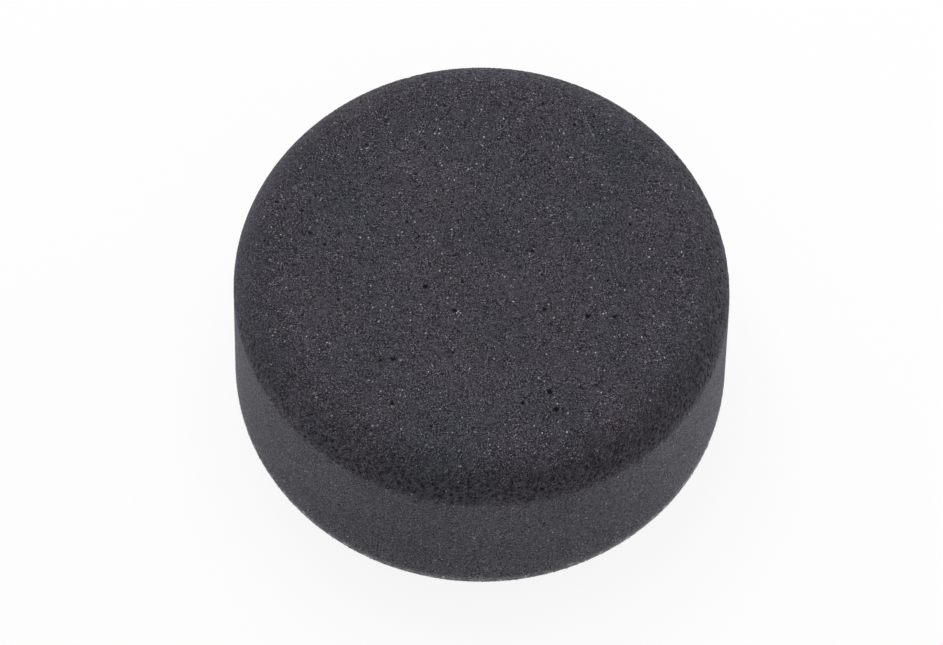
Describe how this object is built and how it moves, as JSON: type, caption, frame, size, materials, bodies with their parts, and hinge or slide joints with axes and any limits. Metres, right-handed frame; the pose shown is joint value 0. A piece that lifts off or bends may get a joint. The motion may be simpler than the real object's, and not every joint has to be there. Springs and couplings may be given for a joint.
{
  "type": "polishing pad",
  "caption": "Thick round polishing pad of fine open-cell foam with a rounded shoulder at its working face, bonded to a loop-fabric backing that grips a hook-faced backing plate.",
  "frame": {"origin": "centre of the loop backing's underside, on the pad's axis", "axes": "+Z along the pad's axis from the loop backing to the working face; X and Y are free, as the pad is a solid of revolution"},
  "size_m": [0.075, 0.075, 0.031],
  "materials": {
    "foam": "soft open-cell polyurethane foam, charcoal black, dull, with fine pores",
    "adhesive": "smoky hot-melt film, satin, soaked into the foam's cut cells",
    "loop_fabric": "knitted loop fabric, charcoal black, with standing filament loops"
  },
  "bodies": {
    "root": {"foam_disc": "foam", "adhesive_film": "adhesive", "loop_backing": "loop_fabric"}
  },
  "joints": []
}
